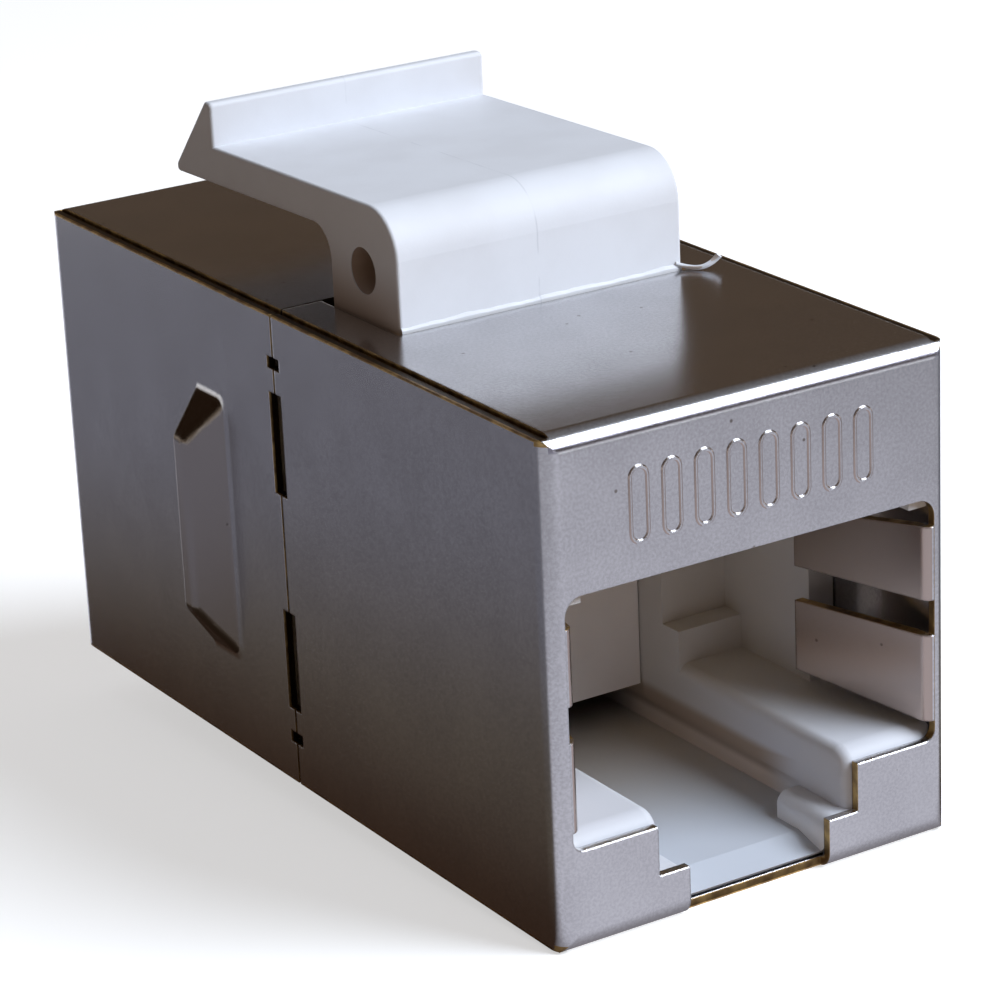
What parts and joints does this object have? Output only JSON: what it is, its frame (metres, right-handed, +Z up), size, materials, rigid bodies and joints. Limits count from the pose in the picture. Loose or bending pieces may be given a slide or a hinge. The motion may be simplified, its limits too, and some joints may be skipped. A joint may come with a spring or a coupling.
{
  "type": "keystone coupler",
  "caption": "Shielded keystone coupler: a folded metal can with modular plug ports back to back and a sprung moulded latch that clips it into a panel.",
  "frame": {"origin": "on the panel's back face, in the middle of the lower edge of the panel's cut-out", "axes": "+Y is the way the module goes through its panel, +Z up towards the latch, +X to the right of someone behind the panel"},
  "size_m": [0.0164, 0.031, 0.0225],
  "materials": {
    "plated_shell": "nickel-plated brass sheet, satin, with bare brass cut edges",
    "white_moulding": "white moulded plastic, slightly glossy",
    "contact_strip": "gold-plated spring strip",
    "board": "green circuit board"
  },
  "bodies": {
    "coupler": {"front_shell": "plated_shell", "rear_shell": "plated_shell", "front_housing": "white_moulding", "rear_housing": "white_moulding", "circuit_board": "board", "front_contact_comb": "white_moulding", "rear_contact_comb": "white_moulding", "front_contact_1": "contact_strip", "front_contact_2": "contact_strip", "front_contact_3": "contact_strip", "front_contact_4": "contact_strip", "front_contact_5": "contact_strip", "front_contact_6": "contact_strip", "front_contact_7": "contact_strip", "front_contact_8": "contact_strip", "rear_contact_1": "contact_strip", "rear_contact_2": "contact_strip", "rear_contact_3": "contact_strip", "rear_contact_4": "contact_strip", "rear_contact_5": "contact_strip", "rear_contact_6": "contact_strip", "rear_contact_7": "contact_strip", "rear_contact_8": "contact_strip"},
    "latch": {"latch": "white_moulding"}
  },
  "joints": [
    {"name": "latch_flex", "type": "hinge", "parent": "coupler", "child": "latch", "pos_m": [0, -0.00783, 0.0151], "axis": [-1, 0, 0], "range_deg": [0, 9], "stiffness_Nm_per_rad": 0.15}
  ]
}
